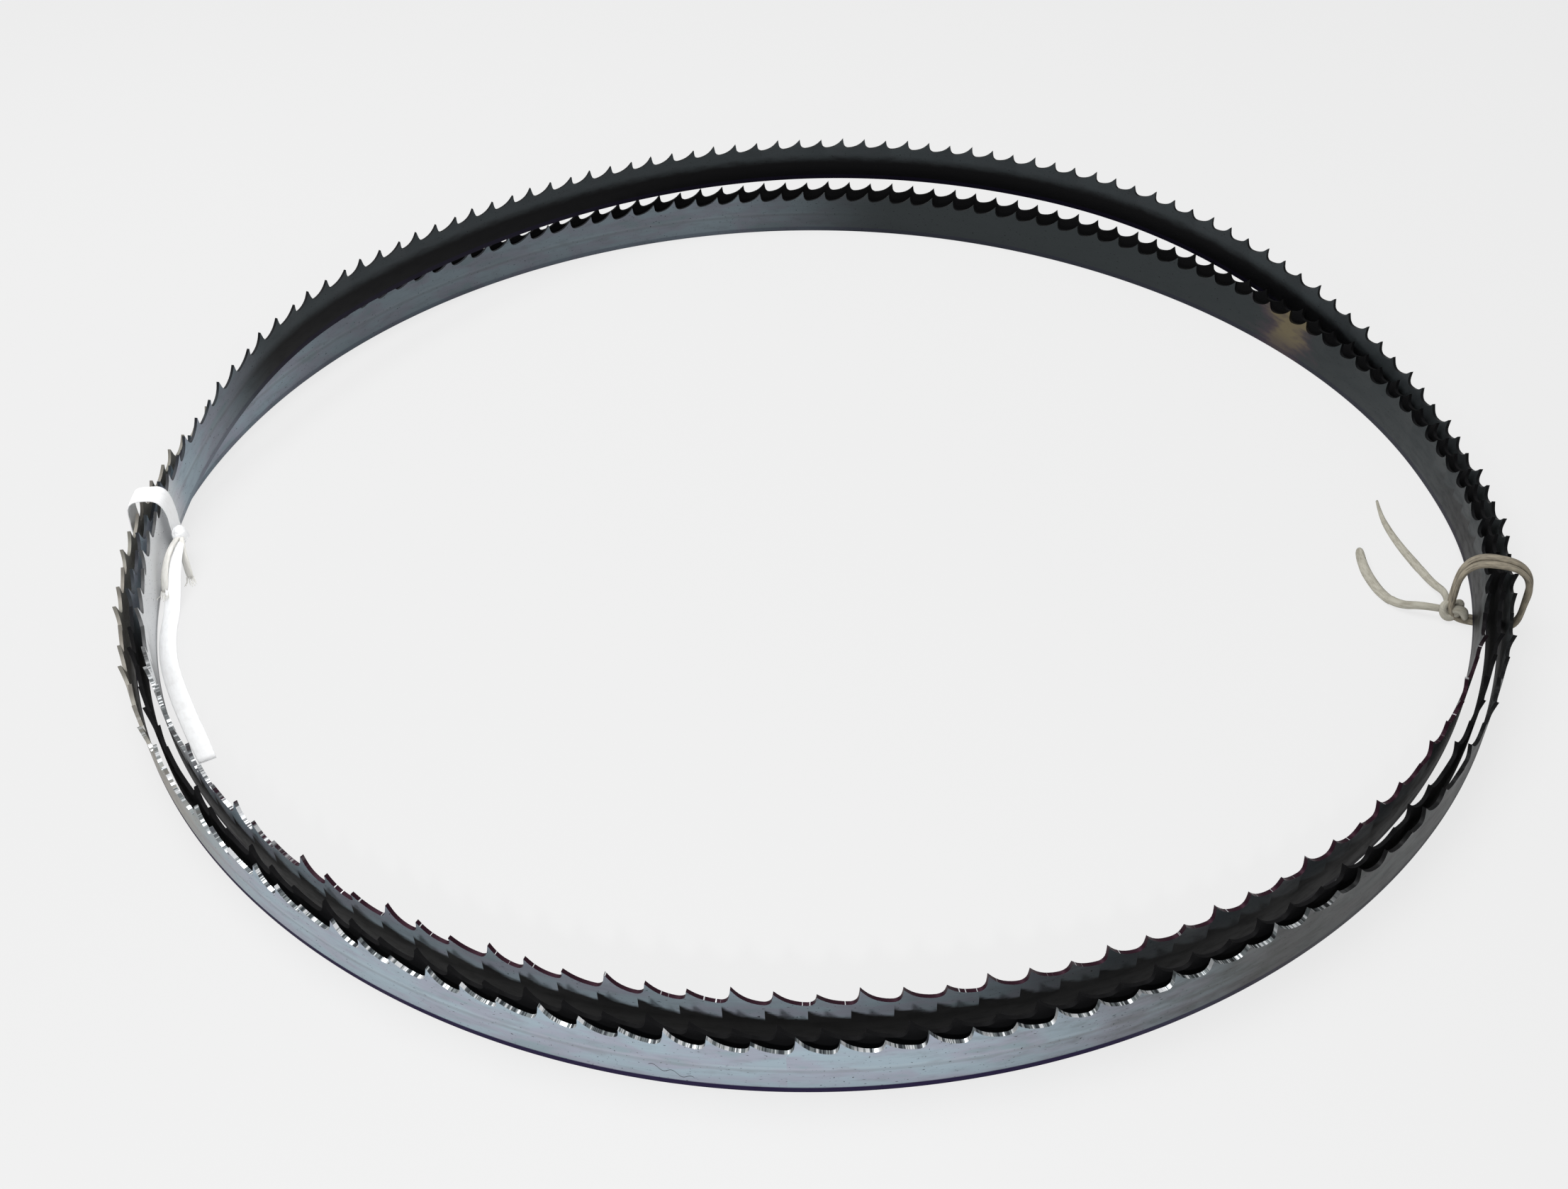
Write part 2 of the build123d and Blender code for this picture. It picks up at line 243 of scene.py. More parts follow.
@dataclass
class Coil:
    """The line of the band's back edge over its three turns, in millimetres.

    A turn angle counts on through the turns, in degrees; a direction is the same in each of them.
    """

    length: float = 3607.0
    turns: int = 3
    strand_pitch: float = 2.5
    crossing_lift: float = 16.6
    # Turn angle where it starts, and its span
    climb: Two = (346.0, 80.0)
    descent: Two = (505.0, 55.0)
    # Direction of each tie, and the rise of the strands over it
    string_under: Two = (342.0, 2.4)
    tape_under: Two = (187.0, 0.7)
    rise_span: float = 24.0
    samples: int = 9000
    # Direction, innermost strand from the mean radius, slack to the next two, turns from the inside out
    stations: tuple = (
        (270, -4.0, 5.6, 0.4, (2, 3, 1)),
        (315, -4.5, 2.6, 0.2, (2, 3, 1)),
        (0, -6.5, 0.3, 0.3, (2, 3, 1)),
        (45, -8.5, 4.4, 0.2, (2, 3, 1)),
        (90, -3.0, 7.5, -0.6, (2, 3, 1)),
        (135, -8.0, 2.0, 0.7, (1, 2, 3)),
        (180, -8.2, 0.6, 0.4, (1, 2, 3)),
        (225, -6.2, 1.6, 0.1, (1, 2, 3)),
    )
    mean_radius: float = field(init=False, default=0.0)

    def __post_init__(self) -> None:
        """Finds the mean radius at which the three turns use up the band."""
        self.mean_radius = self.length / (2 * math.pi * self.turns)
        for _ in range(4):
            self.mean_radius += (self.length - self.line()[1][-1]) / (2 * math.pi * self.turns)

    def offsets(self) -> Array:
        """Distance from the mean radius at every station of the turns, in order."""
        found = np.zeros((self.turns, len(self.stations)))
        for place, (_, innermost, first_slack, second_slack, order) in enumerate(self.stations):
            steps = np.cumsum((0.0, self.strand_pitch + first_slack, self.strand_pitch + second_slack))
            for turn, step in zip(order, steps):
                found[turn - 1, place] = innermost + step
        return found.ravel()

    def radius(self, angle: Array) -> Array:
        """Closed cubic spline through the stations, at turn angles in degrees."""
        knots = self.offsets()
        count = len(knots)
        same = np.eye(count)
        ring = 4 * same + np.roll(same, 1, axis=0) + np.roll(same, -1, axis=0)
        bends = np.linalg.solve(ring, 6 * (np.roll(knots, -1) - 2 * knots + np.roll(knots, 1)))
        steps = (angle - self.stations[0][0]) * len(self.stations) / 360.0
        before = np.floor(steps).astype(int) % count
        after = (before + 1) % count
        t = steps - np.floor(steps)
        chord = (1 - t) * knots[before] + t * knots[after]
        curve = (t**3 - t) * bends[after] + ((1 - t) ** 3 - (1 - t)) * bends[before]
        return self.mean_radius + chord + curve / 6

    def height(self, angle: Array) -> Array:
        """Back edge over the floor: the crossing's climb and descent, and what lies under the band."""
        climb = smooth_step((angle - self.climb[0]) / self.climb[1])
        descent = smooth_step((angle - self.descent[0]) / self.descent[1])
        rise = 0.0
        for direction, lift in (self.string_under, self.tape_under):
            apart = np.abs((angle - direction + 180.0) % 360.0 - 180.0)
            rise = rise + lift * (1 - smooth_step(apart / self.rise_span))
        return self.crossing_lift * (climb - descent) + rise

    def line(self) -> tuple[Array, Array]:
        """Dense points of the closed line and the length up to each."""
        angle = self.stations[0][0] + np.linspace(0.0, 360.0 * self.turns, self.samples)
        radius = self.radius(angle)
        around = np.radians(angle)
        points = np.stack([radius * np.cos(around), radius * np.sin(around), self.height(angle)], 1)
        return points, lengths_along(points)

    def strands(self, direction: float) -> tuple[Array, Array]:
        """Radius and back edge height of the three strands in one direction, innermost first."""
        start = self.stations[0][0]
        angle = start + (direction - start) % 360.0 + 360.0 * np.arange(self.turns)
        radius = self.radius(angle)
        order = np.argsort(radius)
        return radius[order], self.height(angle)[order]

    def metres_at(self, angle: float) -> float:
        """Length along the band up to a turn angle, in metres."""
        _, length = self.line()
        share = (angle - self.stations[0][0]) / (360.0 * self.turns)
        return float(np.interp(share * (self.samples - 1), np.arange(self.samples), length)) * MM


@dataclass
class Blade:
    """The toothed steel band, as one closed smooth mesh along the coil's line.

    The band is a grid: one row of points round its section for every column along it. A column at
    length s has a top edge at the height of the tooth outline there, and above the gullet line it
    leans sideways with the set of its tooth.
    """

    coil: Coil
    teeth: int = 426
    width: float = 15.9
    thickness: float = 0.9
    gullet_depth: float = 3.4
    tooth_set: float = 0.65
    set_pattern: tuple[int, ...] = (-1, 0, 1)
    back_round: float = 0.22
    # Middle of the back's corners, as a share of their radius off both faces
    corner_share: float = 0.3
    # Row under the gullet line, as a share of its height
    middle_row: float = 0.55
    heading_reach: float = 1.0
    sharp_angle: float = 38.0
    # Share of the pitch after the gullet bottom, share of the gullet depth
    outline: tuple = (
        (0.0, 0.0), (0.055, 0.035), (0.105, 0.105), (0.15, 0.225), (0.18, 0.42),
        (0.20, 0.72), (0.212, 1.0), (0.245, 0.91), (0.31, 0.73), (0.40, 0.52),
        (0.50, 0.345), (0.60, 0.215), (0.71, 0.115), (0.82, 0.045), (0.91, 0.012),
    )

    def build(self) -> Piece:
        """Builds the mesh, with a UV map in metres: along the band, and up from the back edge."""
        line, length = self.coil.line()
        shares, heights = np.array(self.outline).T
        columns = len(shares)
        place = (np.arange(self.teeth)[:, None] + shares[None, :]).ravel() * self.coil.length / self.teeth
        top_share = np.tile(heights, self.teeth)
        lean = np.repeat(np.resize(self.set_pattern, self.teeth), columns) * self.tooth_set
        behind, foot, ahead = (
            np.stack([np.interp((place + reach) % length[-1], length, axis) for axis in line.T], 1)
            for reach in (-self.heading_reach, 0.0, self.heading_reach)
        )
        along = ahead - behind
        outward = np.stack([along[:, 1], -along[:, 0], np.zeros(len(place))], 1)
        outward /= np.linalg.norm(outward, axis=1)[:, None]

        gullet_line = self.width - self.gullet_depth
        top = gullet_line + top_share * self.gullet_depth
        half = self.thickness / 2
        flat = np.ones(len(place))
        r = self.back_round
        corner = self.corner_share * r
        # Distance from the middle and height of a section's points, from the tip down to the back
        face = [
            (half, top),
            (half, (gullet_line + top) / 2),
            (half, gullet_line * flat),
            (half, gullet_line * self.middle_row * flat),
            (half, r * flat),
            (half - corner, corner * flat),
            (half - r, 0.0 * flat),
        ]
        levels = face + [(-across, height) for across, height in face[::-1]]
        rows = []
        for across, height in levels:
            set_here = lean * np.clip((height - gullet_line) / self.gullet_depth, 0, None)
            rows.append(foot + (across + set_here)[:, None] * outward + height[:, None] * UP)
        points = np.stack(rows, 1).reshape(-1, 3) * MM
        ring = len(levels)
        quads = grid_quads(len(place), ring, True, True)[:, ::-1]
        column, level = quads // ring, quads % ring
        s = place[column] + np.where((column == 0) & (column.max(1) > columns)[:, None], length[-1], 0.0)
        v = np.stack([height for _, height in levels], 1)[column, level]
        v[(level == 0).any(1) & (level == ring - 1).any(1)] = self.width + 1.0
        piece = build_mesh("band", points, quads, np.stack([s, v], -1) * MM)
        piece.data.set_sharp_from_angle(angle=math.radians(self.sharp_angle))
        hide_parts("blade")
        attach(piece, "root")
        log.info("band: %d faces, %.1f mm long", len(quads), length[-1])
        return piece


@dataclass(frozen=True)
class TiePlane:
    """Upright plane of a tie through the coil's axis: outwards, up, and along the strands."""

    direction: float

    def at(self, out: object, up: object, along: object) -> Array:
        """Points in millimetres from their distances in the plane's own directions."""
        turn = math.radians(self.direction)
        outward = np.array([math.cos(turn), math.sin(turn), 0.0])
        strand = np.array([outward[1], -outward[0], 0.0])
        out, up, along = np.broadcast_arrays(out, up, along)
        return out[..., None] * outward + up[..., None] * UP + along[..., None] * strand


def oval(turn: Array, power: object) -> tuple[Array, Array]:
    """Points of |x|^n + |y|^n = 1; 2 is a circle, more is squarer."""
    cos, sin = np.cos(turn), np.sin(turn)
    return np.sign(cos) * np.abs(cos) ** (2 / power), np.sign(sin) * np.abs(sin) ** (2 / power)


def ring_path(half_wide: float, rise: float, drop: float, powers: Two, steps: int) -> Array:
    """Closed superellipse with its own height and power above and below.

    Args:
        half_wide: half the width.
        rise: height over the middle.
        drop: depth under it.
        powers: power of the upper and of the lower half, as for oval.
        steps: number of points, at even lengths.

    Returns:
        Points, steps by 2.
    """
    turn = np.linspace(0.0, 2 * np.pi, RING_SAMPLES)
    above = np.sin(turn) > 0
    x, y = oval(turn, np.where(above, *powers))
    path = np.stack([half_wide * x, np.where(above, rise, drop) * y], 1)
    length = lengths_along(path)
    even = np.arange(steps) * length[-1] / steps
    return np.stack([np.interp(even, length, axis) for axis in path.T], 1)


def swept(
    name: str, centre: Array, wide_axis: Array, wide: Array, thin: Array,
    closed: bool = False, power: float = 2.0, ring: int = 16,
) -> Piece:
    """Sweeps an oval section along a line, with a UV map in metres along it and round it.

    Args:
        name: the piece's name.
        centre: points of the line, in millimetres.
        wide_axis: direction of the section's width at every point, or one for all.
        wide: half the width at every point.
        thin: half the thickness at every point.
        closed: whether the line closes on itself; an open one gets caps.
        power: the section's power, as for oval.
        ring: points round the section.

    Returns:
        The piece.
    """
    count = len(centre)
    along = np.roll(centre, -1, 0) - np.roll(centre, 1, 0) if closed else np.gradient(centre, axis=0)
    along /= np.linalg.norm(along, axis=1)[:, None]
    side = np.broadcast_to(wide_axis, centre.shape)
    side = side - (side * along).sum(1)[:, None] * along
    side /= np.linalg.norm(side, axis=1)[:, None]
    over = np.cross(along, side)
    x, y = oval(np.arange(ring) * 2 * np.pi / ring, power)
    wide = np.broadcast_to(wide, count)[:, None, None]
    thin = np.broadcast_to(thin, count)[:, None, None]
    across = wide * x[None, :, None] * side[:, None] + thin * y[None, :, None] * over[:, None]
    points = centre[:, None] + across
    quads = grid_quads(count, ring, closed, True)
    length = lengths_along(np.concatenate([centre, centre[:1]]))
    row, column = quads // ring, quads % ring
    u = length[row + np.where(row < row[:, :1], count, 0)]
    v = (column + np.where(column < column[:, :1], ring, 0)) * 2 * np.pi / ring * float(wide.mean())
    points = points.reshape(-1, 3)
    if not closed:
        first = np.arange(ring)
        after = (first + 1) % ring
        tip, end = len(points), len(points) + 1
        last = (count - 1) * ring
        start_cap = np.stack([np.full(ring, tip), after, first, first], 1)
        end_cap = np.stack([np.full(ring, end), last + first, last + after, last + after], 1)
        points = np.concatenate([points, centre[:1], centre[-1:]])
        quads = np.concatenate([quads, start_cap, end_cap])
        u = np.concatenate([u, np.zeros((ring, 4)), np.full((ring, 4), length[count - 1])])
        v = np.concatenate([v, np.zeros((2 * ring, 4))])
    piece = build_mesh(name, points * MM, quads, np.stack([u, v], -1) * MM)
    for polygon in piece.data.polygons:
        polygon.use_smooth = True
    return piece


def spline(route: Array) -> tuple[Array, Array, float]:
    """Smooth line that a route's points control: its points, the share up to each, and its length."""
    data = bpy.data.curves.new("route", "CURVE")
    data.dimensions = "3D"
    nurbs = data.splines.new("NURBS")
    nurbs.points.add(len(route) - 1)
    for point, place in zip(nurbs.points, route):
        point.co = (*(place * MM), 1.0)
    nurbs.order_u = 3
    nurbs.use_endpoint_u = True
    nurbs.resolution_u = SPLINE_STEPS
    carrier = bpy.data.objects.new("route", data)
    mesh = bpy.data.meshes.new_from_object(carrier)
    found = np.array([vertex.co[:] for vertex in mesh.vertices]) / MM
    bpy.data.objects.remove(carrier)
    bpy.data.meshes.remove(mesh)
    length = lengths_along(found)
    return found, length / length[-1], length[-1]


@dataclass(frozen=True)
class Tie:
    """What both ties share: the plane they lie in and the room they leave the strands."""

    coil: Coil
    plane: TiePlane
    inner_slack: float
    outer_slack: float
    top_slack: float
    node: str
    slot: Slot
    strand_reach: float = 1.1

    def piece(self, name: str, finish: Material, line: tuple, node: str = "", **section: object) -> Piece:
        """Sweeps a piece that rides on the coil.

        Args:
            name: the piece's name.
            finish: its material.
            line: centre, wide_axis, wide and thin, as for swept.
            node: the CAD node that it stands for, where that isn't the tied part.
            **section: the rest of swept's arguments.

        Returns:
            The piece.
        """
        piece = swept(name, *line, **section)
        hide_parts(node or self.node)
        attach(piece, "root")
        piece.data.materials.append(finish)
        log.info("%s: %d faces", piece.name, len(piece.data.polygons))
        return piece

    def room(self) -> Three:
        """Inner radius, outer radius and top of the opening round the strands."""
        radius, height = self.coil.strands(self.plane.direction)
        inner = radius[0] - self.strand_reach - self.inner_slack
        outer = radius[-1] + self.strand_reach + self.outer_slack
        return inner, outer, height.max() + Blade.width + self.top_slack

    def around(self, thickness: float, swell: Two, powers: Two, steps: int) -> tuple[Array, ...]:
        """Closed line round the opening.

        Args:
            thickness: of what is tied round it.
            swell: how far the line stands off outwards and upwards.
            powers: of its upper and its lower half.
            steps: number of points.

        Returns:
            Distance out, height, and angle about the middle at every point.
        """
        inner, outer, top = self.room()
        half_high = (top - thickness) / 2 + thickness / 2
        half_wide = (outer - inner) / 2 + thickness / 2
        path = ring_path(half_wide + swell[0], half_high + swell[1], half_high, powers, steps)
        out, up = path.T
        return (inner + outer) / 2 + out, (top + thickness) / 2 + up, np.arctan2(up, out)


@dataclass(frozen=True)
class StringTie(Tie):
    """Two slack passes of rolled string, the knot between them and its two free tails."""

    plane: TiePlane = TiePlane(342.0)
    inner_slack: float = 4.2
    outer_slack: float = 2.4
    top_slack: float = 1.2
    node: str = "string_tie"
    slot: Slot = Slot.STRING
    diameter: float = 2.2
    pass_steps: int = 180
    pass_powers: Two = (2.7, 5.0)
    second_swell: Two = (0.21, 0.35)
    ring: int = 20
    knot_steps: int = 240
    knot_up: float = 3.0
    knot_shift: float = 1.2
    knot_length: float = 7.0
    knot_diameter: float = 5.6
    # Scale of the trefoil outwards, along the strands and upwards, and its rise over the knot's middle
    trefoil: Three = (1.02, 0.62, 1.5)
    trefoil_rise: float = 0.15
    long_tail_shift: float = 1.7
    tail_stub: float = 4.5
    # Side of a tail's section; share of its length after which it lies down, and how near the floor
    tail_side: Three = (0.25, 0.9, 0.35)
    tail_down: float = 0.35
    tail_gap: float = 0.1
    long_tail: tuple = (
        (172.3, -42.4, 1.3), (170.9, -34.6, 0.9), (169.0, -26.0, 0.9),
        (167.9, -17.2, 0.9), (167.8, -9.2, 0.9), (168.9, -1.9, 0.9),
    )
    short_tail: tuple = (
        (160.8, -52.0, 1.6), (157.6, -47.4, 1.1), (156.2, -40.8, 1.1),
        (155.8, -33.4, 1.1), (156.8, -26.6, 1.1),
    )

    def knot_out(self) -> float:
        """Distance of the knot's middle from the coil's axis."""
        return self.room()[0] - self.diameter / 2 + self.knot_shift

    def tail(
        self, name: str, start: tuple, heading: tuple, route: tuple, wide: tuple, thin: tuple,
        diameter: float, finish: Material,
    ) -> None:
        """Free string end along the same points as its plain tube.

        Args:
            name: the CAD node.
            start: where it leaves the knot, out, up and along from the knot's middle.
            heading: the direction in which it leaves, in the same terms.
            route: the points after the stub.
            wide: shares of the length, and half the width at each.
            thin: half the thickness, likewise.
            diameter: its diameter in millimetres; not used.
            finish: the string's material.
        """
        middle = np.array([self.knot_out(), self.knot_up, 0.0])
        first = self.plane.at(*(middle + start))
        stub = self.plane.at(*(middle + start + self.tail_stub * np.array(heading)))
        line, share, length = spline(np.array([first, stub, *route]))
        half_wide, half_thin = np.interp(share, *wide), np.interp(share, *thin)
        floor = np.minimum(line[:, 2], half_thin + self.tail_gap)
        line[:, 2] = np.where(share > self.tail_down, floor, line[:, 2])
        shape = (line, np.array(self.tail_side), half_wide, half_thin)
        piece = self.piece(name + "_cord", finish, shape, node=name, ring=self.ring)

    def tails(self, finish: Material) -> None:
        """The long tail, which thins out to a point, and the short one, cut blunt."""
        self.tail(
            "string_tail_long",
            (-self.long_tail_shift, 0.0, -self.knot_diameter / 2),
            (0.0, 0.0, -1.0),
            self.long_tail,
            ((0, 0.15, 0.4, 0.75, 1.0), (0.85, 1.0, 1.15, 0.85, 0.4)),
            ((0, 0.5, 0.75, 1.0), (0.75, 0.75, 0.65, 0.35)),
            1.8,
            finish,
        )
        self.tail(
            "string_tail_short",
            (-self.knot_length / 2, 0.0, 0.0),
            (-1.0, 0.0, 0.0),
            self.short_tail,
            ((0, 0.2, 0.5, 0.9, 0.97, 1.0), (0.95, 1.15, 1.3, 1.45, 1.35, 1.0)),
            ((0, 0.5, 0.97, 1.0), (0.95, 1.05, 1.0, 0.75)),
            self.diameter,
            finish,
        )

    def loops(self, finish: Material) -> None:
        """Two slack passes round the strands; they part over the teeth and close up at the knot."""
        for number, side in enumerate((1.0, -1.0)):
            swell = tuple(number * extra for extra in self.second_swell)
            out, up, turn = self.around(self.diameter, swell, self.pass_powers, self.pass_steps)
            over = np.clip(np.sin(turn), 0, 1)
            apart = 0.85 + 0.45 * over + 0.12 * np.sin(3 * turn + number)
            centre = self.plane.at(out, up, side * apart)
            wide = 1.02 + 0.2 * over + 0.06 * np.sin(5 * turn + 2 * number)
            thin = 0.78 + 0.05 * np.sin(4 * turn + number)
            tilt = self.plane.at(0.25 * np.sin(2 * turn + number), 0.3 * np.cos(turn), 1.0)
            name, shape = f"string_pass_{number + 1}", (centre, tilt, wide, thin)
            self.piece(name, finish, shape, closed=True, ring=self.ring)

    def knot(self, finish: Material) -> None:
        """Trefoil pulled tight: x = sin t + 2 sin 2t, y = cos t - 2 cos 2t, z = -sin 3t, squeezed."""
        t = np.linspace(0.0, 2 * np.pi, self.knot_steps, endpoint=False)
        outwards, sideways, upwards = self.trefoil
        out = self.knot_out() + outwards * (np.sin(t) + 2 * np.sin(2 * t))
        along = sideways * (np.cos(t) - 2 * np.cos(2 * t))
        up = self.knot_up + self.trefoil_rise - upwards * np.sin(3 * t)
        centre = self.plane.at(out, up, along)
        wide = 1.15 + 0.12 * np.sin(2 * t)
        shape = (centre, np.array([0.0, 0.3, 1.0]), wide, 0.95)
        self.piece("string_knot", finish, shape, closed=True, ring=self.ring)

    def build(self, finish: Material, darker: Material) -> None:
        """Builds the tie without its tails: the knot in the plain string, the passes in the darker one."""
        self.loops(darker)
        self.knot(finish)


@dataclass(frozen=True)
class TapeTie(Tie):
    """Band of soft white tape, its knot, two frayed ends and the long tail on the floor."""

    plane: TiePlane = TiePlane(187.0)
    inner_slack: float = 0.9
    outer_slack: float = 0.9
    top_slack: float = 0.9
    node: str = "tape_tie"
    slot: Slot = Slot.TAPE
    width: float = 7.5
    thickness: float = 0.5
    half_drawn: float = 0.22
    band_steps: int = 200
    band_powers: Two = (3.6, 7.0)
    band_swell: Two = (0.35, 0.8)
    knot_size: Three = (4.6, 5.4, 6.0)
    knot_up: float = 8.0
    knot_shift: float = 3.6
    knot_turn: float = 3.0
    # Foot of each short end, and how far its crown stands off the middle of the way there
    ends: tuple = (
        ((-174.2, -36.0, 0.6), (0.4, -1.5, 4.6)),
        ((-177.4, -45.5, 3.0), (-1.4, -1.5, 4.6)),
    )
    # Fibres of each short end: width they start over, longest, and how many
    fray_spread: float = 2.2
    fray_reach: float = 4.5
    fray_count: int = 9
    fibre_half: Two = (0.11, 0.08)
    fibre_gap: float = 0.12
    tail_stub: float = 9.0
    tail_landing: float = 22.0
    tail_width: float = 4.5
    tail_floor: float = 0.35
    tail_route: tuple = (
        (-171.8, -61.6), (-167.2, -73.6), (-160.4, -85.4), (-152.6, -97.6), (-144.8, -109.2),
    )

    def knot_middle(self) -> Array:
        """Middle of the knot."""
        out = self.room()[0] - self.thickness / 2 - self.knot_size[0] / 2
        return self.plane.at(out, self.knot_up, -self.knot_shift)

    def fray(self, name: str, root: Array, heading: Array, finish: Material) -> None:
        """Loose fibres that fan out of a torn end.

        Args:
            name: the pieces' common name.
            root: the end's middle, in millimetres.
            heading: direction of the end.
            finish: the tape's material.
        """
        rng = np.random.default_rng(self.fray_count)
        heading = heading / np.linalg.norm(heading)
        side = np.array([heading[1], -heading[0], 0.0])
        spread, reach = self.fray_spread, self.fray_reach
        for number in range(self.fray_count):
            place = (number + 0.5) / self.fray_count - 0.5
            bend = place * 0.9 + rng.uniform(-0.25, 0.25)
            t = np.linspace(0.0, 1.0, 8)[:, None] * reach * rng.uniform(0.45, 1.0)
            sideways = place * spread + (t / reach) ** 1.6 * bend * reach * 0.6
            line = root + t * heading + sideways * side
            line[:, 2] = np.maximum(line[:, 2] + 0.25 * np.sin(t[:, 0] * 2 + number), self.fibre_gap)
            self.piece(f"{name}_{number + 1}", finish, (line, side, *self.fibre_half), ring=5)

    def tail(self, finish: Material) -> None:
        """Long free end: leaves the knot along the strands and lies down on the floor."""
        turn = math.radians(self.knot_turn)
        along = self.plane.at(-math.sin(turn), 0.0, -math.cos(turn))
        start = self.knot_middle() + self.knot_size[2] / 2 * along
        stub = start + self.tail_stub * along
        landing = start + self.tail_landing * along
        landing[2] = self.tail_floor
        route = np.array([start, stub, landing, *((x, y, self.tail_floor) for x, y in self.tail_route)])
        line, share, length = spline(route)
        swell = np.interp(share, (0, 0.12, 0.4, 0.9, 1.0), (0.8, 0.9, 1.0, 1.05, 0.95))
        wide = self.tail_width / 2 * swell
        heading = np.gradient(line, axis=0)
        roll = 0.12 * np.sin(9 * share) * np.abs(heading[:, 0])
        side = np.stack([heading[:, 1], -heading[:, 0], roll], 1)
        shape = (line, side, wide, self.half_drawn)
        piece = self.piece("tape_tail_cord", finish, shape, node="tape_tail", power=5.0, ring=24)

    def band(self, finish: Material) -> None:
        """Band round the strands, arched over the teeth."""
        out, up, turn = self.around(self.thickness, self.band_swell, self.band_powers, self.band_steps)
        sway = 0.5 * np.clip(np.sin(turn), 0, 1) + 0.15 * np.sin(3 * turn)
        centre = self.plane.at(out, up, sway)
        wide = self.width / 2 * (1.0 + 0.03 * np.sin(7 * turn))
        shape = (centre, self.plane.at(0.0, 0.0, 1.0), wide, self.half_drawn)
        self.piece("tape_band", finish, shape, closed=True, power=6.0, ring=24)

    def knot(self, finish: Material) -> None:
        """Tight folds of the tape: three flat rings that lie across each other."""
        middle = self.knot_middle()
        thick, high, long = np.array(self.knot_size) / 2
        t = np.linspace(0.0, 2 * np.pi, 72, endpoint=False)
        cos, sin, twice = np.cos(t), np.sin(t), np.sin(2 * t)
        # Distance out, height and distance along; the fold's side; half its width
        folds = (
            ((0.55 * thick * cos, 0.62 * high * sin, 0.25 * twice), (0.1, 0.1, 1.0), 1.7),
            ((0.6 * thick * cos, 0.2 * high * twice, 0.62 * long * sin), (0.2, 1.0, 0.1), 1.4),
            ((0.2 * twice, 0.6 * high * cos, 0.6 * long * sin), (1.0, 0.2, 0.2), 1.2),
        )
        for number, (course, side, wide) in enumerate(folds):
            centre = middle + self.plane.at(*course)
            name, shape = f"tape_fold_{number + 1}", (centre, self.plane.at(*side), wide, 0.75)
            self.piece(name, finish, shape, closed=True, power=2.6, ring=16)

    def short_ends(self, finish: Material) -> None:
        """Two rolled ends that hang from the knot to the floor and fray there."""
        middle = self.knot_middle()
        side = np.array([0.9, -0.2, 0.35])
        share = np.linspace(0.0, 1.0, 24)
        t = share[:, None]
        for number, ends in enumerate(self.ends):
            foot, lean = np.array(ends)
            crown = (middle + foot) / 2 + lean
            line = (1 - t) ** 2 * middle + 2 * t * (1 - t) * crown + t**2 * foot
            wide = np.interp(share, (0, 0.5, 0.9, 1.0), (1.0, 1.15, 1.35, 1.1))
            name, shape = f"tape_end_{number + 1}", (line, side, wide, 0.5 - 0.22 * share)
            self.piece(name, finish, shape, power=2.4, ring=16)
            heading = line[-1] - line[-2]
            heading[2] = 0.0
            self.fray(f"tape_fray_{number + 1}", foot, heading, finish)

    def build(self, finish: Material, darker: Material) -> None:
        """Builds the tie without its tail, its short ends in the darker finish."""
        self.band(finish)
        self.knot(finish)
        self.short_ends(darker)


@dataclass(frozen=True)
class ColourRun:
    """Colour that the band takes between turn angles; most runs on the band are painted light or shade.

    Attributes:
        colour: the colour.
        fade: length over which it falls off at both ends, in metres.
        runs: start angle, end angle and share of each run.
    """

    colour: tuple
    fade: float
    runs: tuple

    def masks(self, coil: Coil, along: Sock) -> list[Sock]:
        """Share of the colour in each run, from the place along the band."""
        found = []
        for start, end, share in self.runs:
            first, last = coil.metres_at(start), coil.metres_at(end)
            found.append(along.near((first + last) / 2, (last - first) / 2, self.fade) * share)
        return found

    def mask(self, coil: Coil, along: Sock) -> Sock:
        """The largest share of any run."""
        total, *others = self.masks(coil, along)
        for mask in others:
            total = total.larger(mask)
        return total

    def layers(self, coil: Coil, along: Sock) -> tuple:
        """The runs as layers of this colour."""
        return tuple((mask, self.colour) for mask in self.masks(coil, along))


@dataclass(frozen=True)
class BandMaps:
    """Places on the band, in metres along it and up from its back edge, and the noises over it."""

    along: Sock
    height: Sock
    grain: Sock
    streaks: Sock
    tint: Sock
    patches: Sock
    cuts: Sock
    specks: Sock
    glint_spread: Sock

    def nicks(self) -> Sock:
        """Short dark cuts along the band and small dark pits."""
        return self.cuts.band(0.69, 0.71).larger(self.specks.band(0.705, 0.72))


